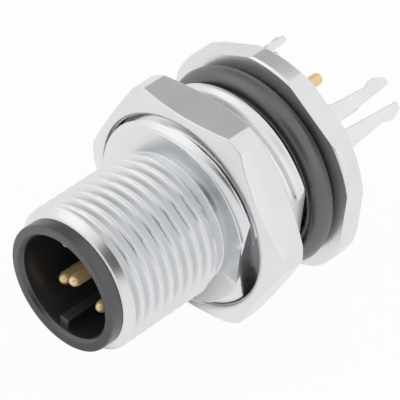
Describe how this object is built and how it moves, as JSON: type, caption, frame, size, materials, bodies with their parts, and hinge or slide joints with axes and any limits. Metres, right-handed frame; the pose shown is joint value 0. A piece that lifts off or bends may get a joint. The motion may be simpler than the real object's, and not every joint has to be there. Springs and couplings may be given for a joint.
{
  "type": "m12 panel-mount connector",
  "caption": "Screened M12 male connector for a panel: threaded metal barrel with pin contacts, hexagon nut, ring seal and flange, and solder tails with forked screen tabs behind.",
  "frame": {"origin": "on the connector axis, in the face of the flange that seats on the panel", "axes": "connector axis along Y: the mating face looks towards -Y, the tails towards +Y; coding key at -Z, anti-rotation flat of the panel thread at +X"},
  "size_m": [0.02, 0.0301, 0.019],
  "materials": {
    "nickel_plate": "bright nickel plating on turned brass",
    "carrier_plastic": "moulded black polyamide, satin",
    "contact_gold": "gold plating on turned brass",
    "seal_rubber": "black nitrile rubber, satin",
    "resin": "cast black resin",
    "screen_tin": "tin plating on stamped brass sheet"
  },
  "bodies": {
    "connector": {"housing": "nickel_plate", "contact_carrier": "carrier_plastic", "carrier_seal": "seal_rubber", "rear_insert": "carrier_plastic", "contact_1": "contact_gold", "contact_2": "contact_gold", "contact_3": "contact_gold", "contact_4": "contact_gold", "contact_5": "contact_gold", "sealing_resin": "resin", "screen_ring": "screen_tin", "panel_seal": "seal_rubber"},
    "nut": {"lock_nut": "nickel_plate"}
  },
  "joints": [
    {"name": "nut_turn", "type": "hinge", "parent": "connector", "child": "nut", "pos_m": [0, -0.00675, 0], "axis": [0, 1, 0], "continuous": true}
  ]
}
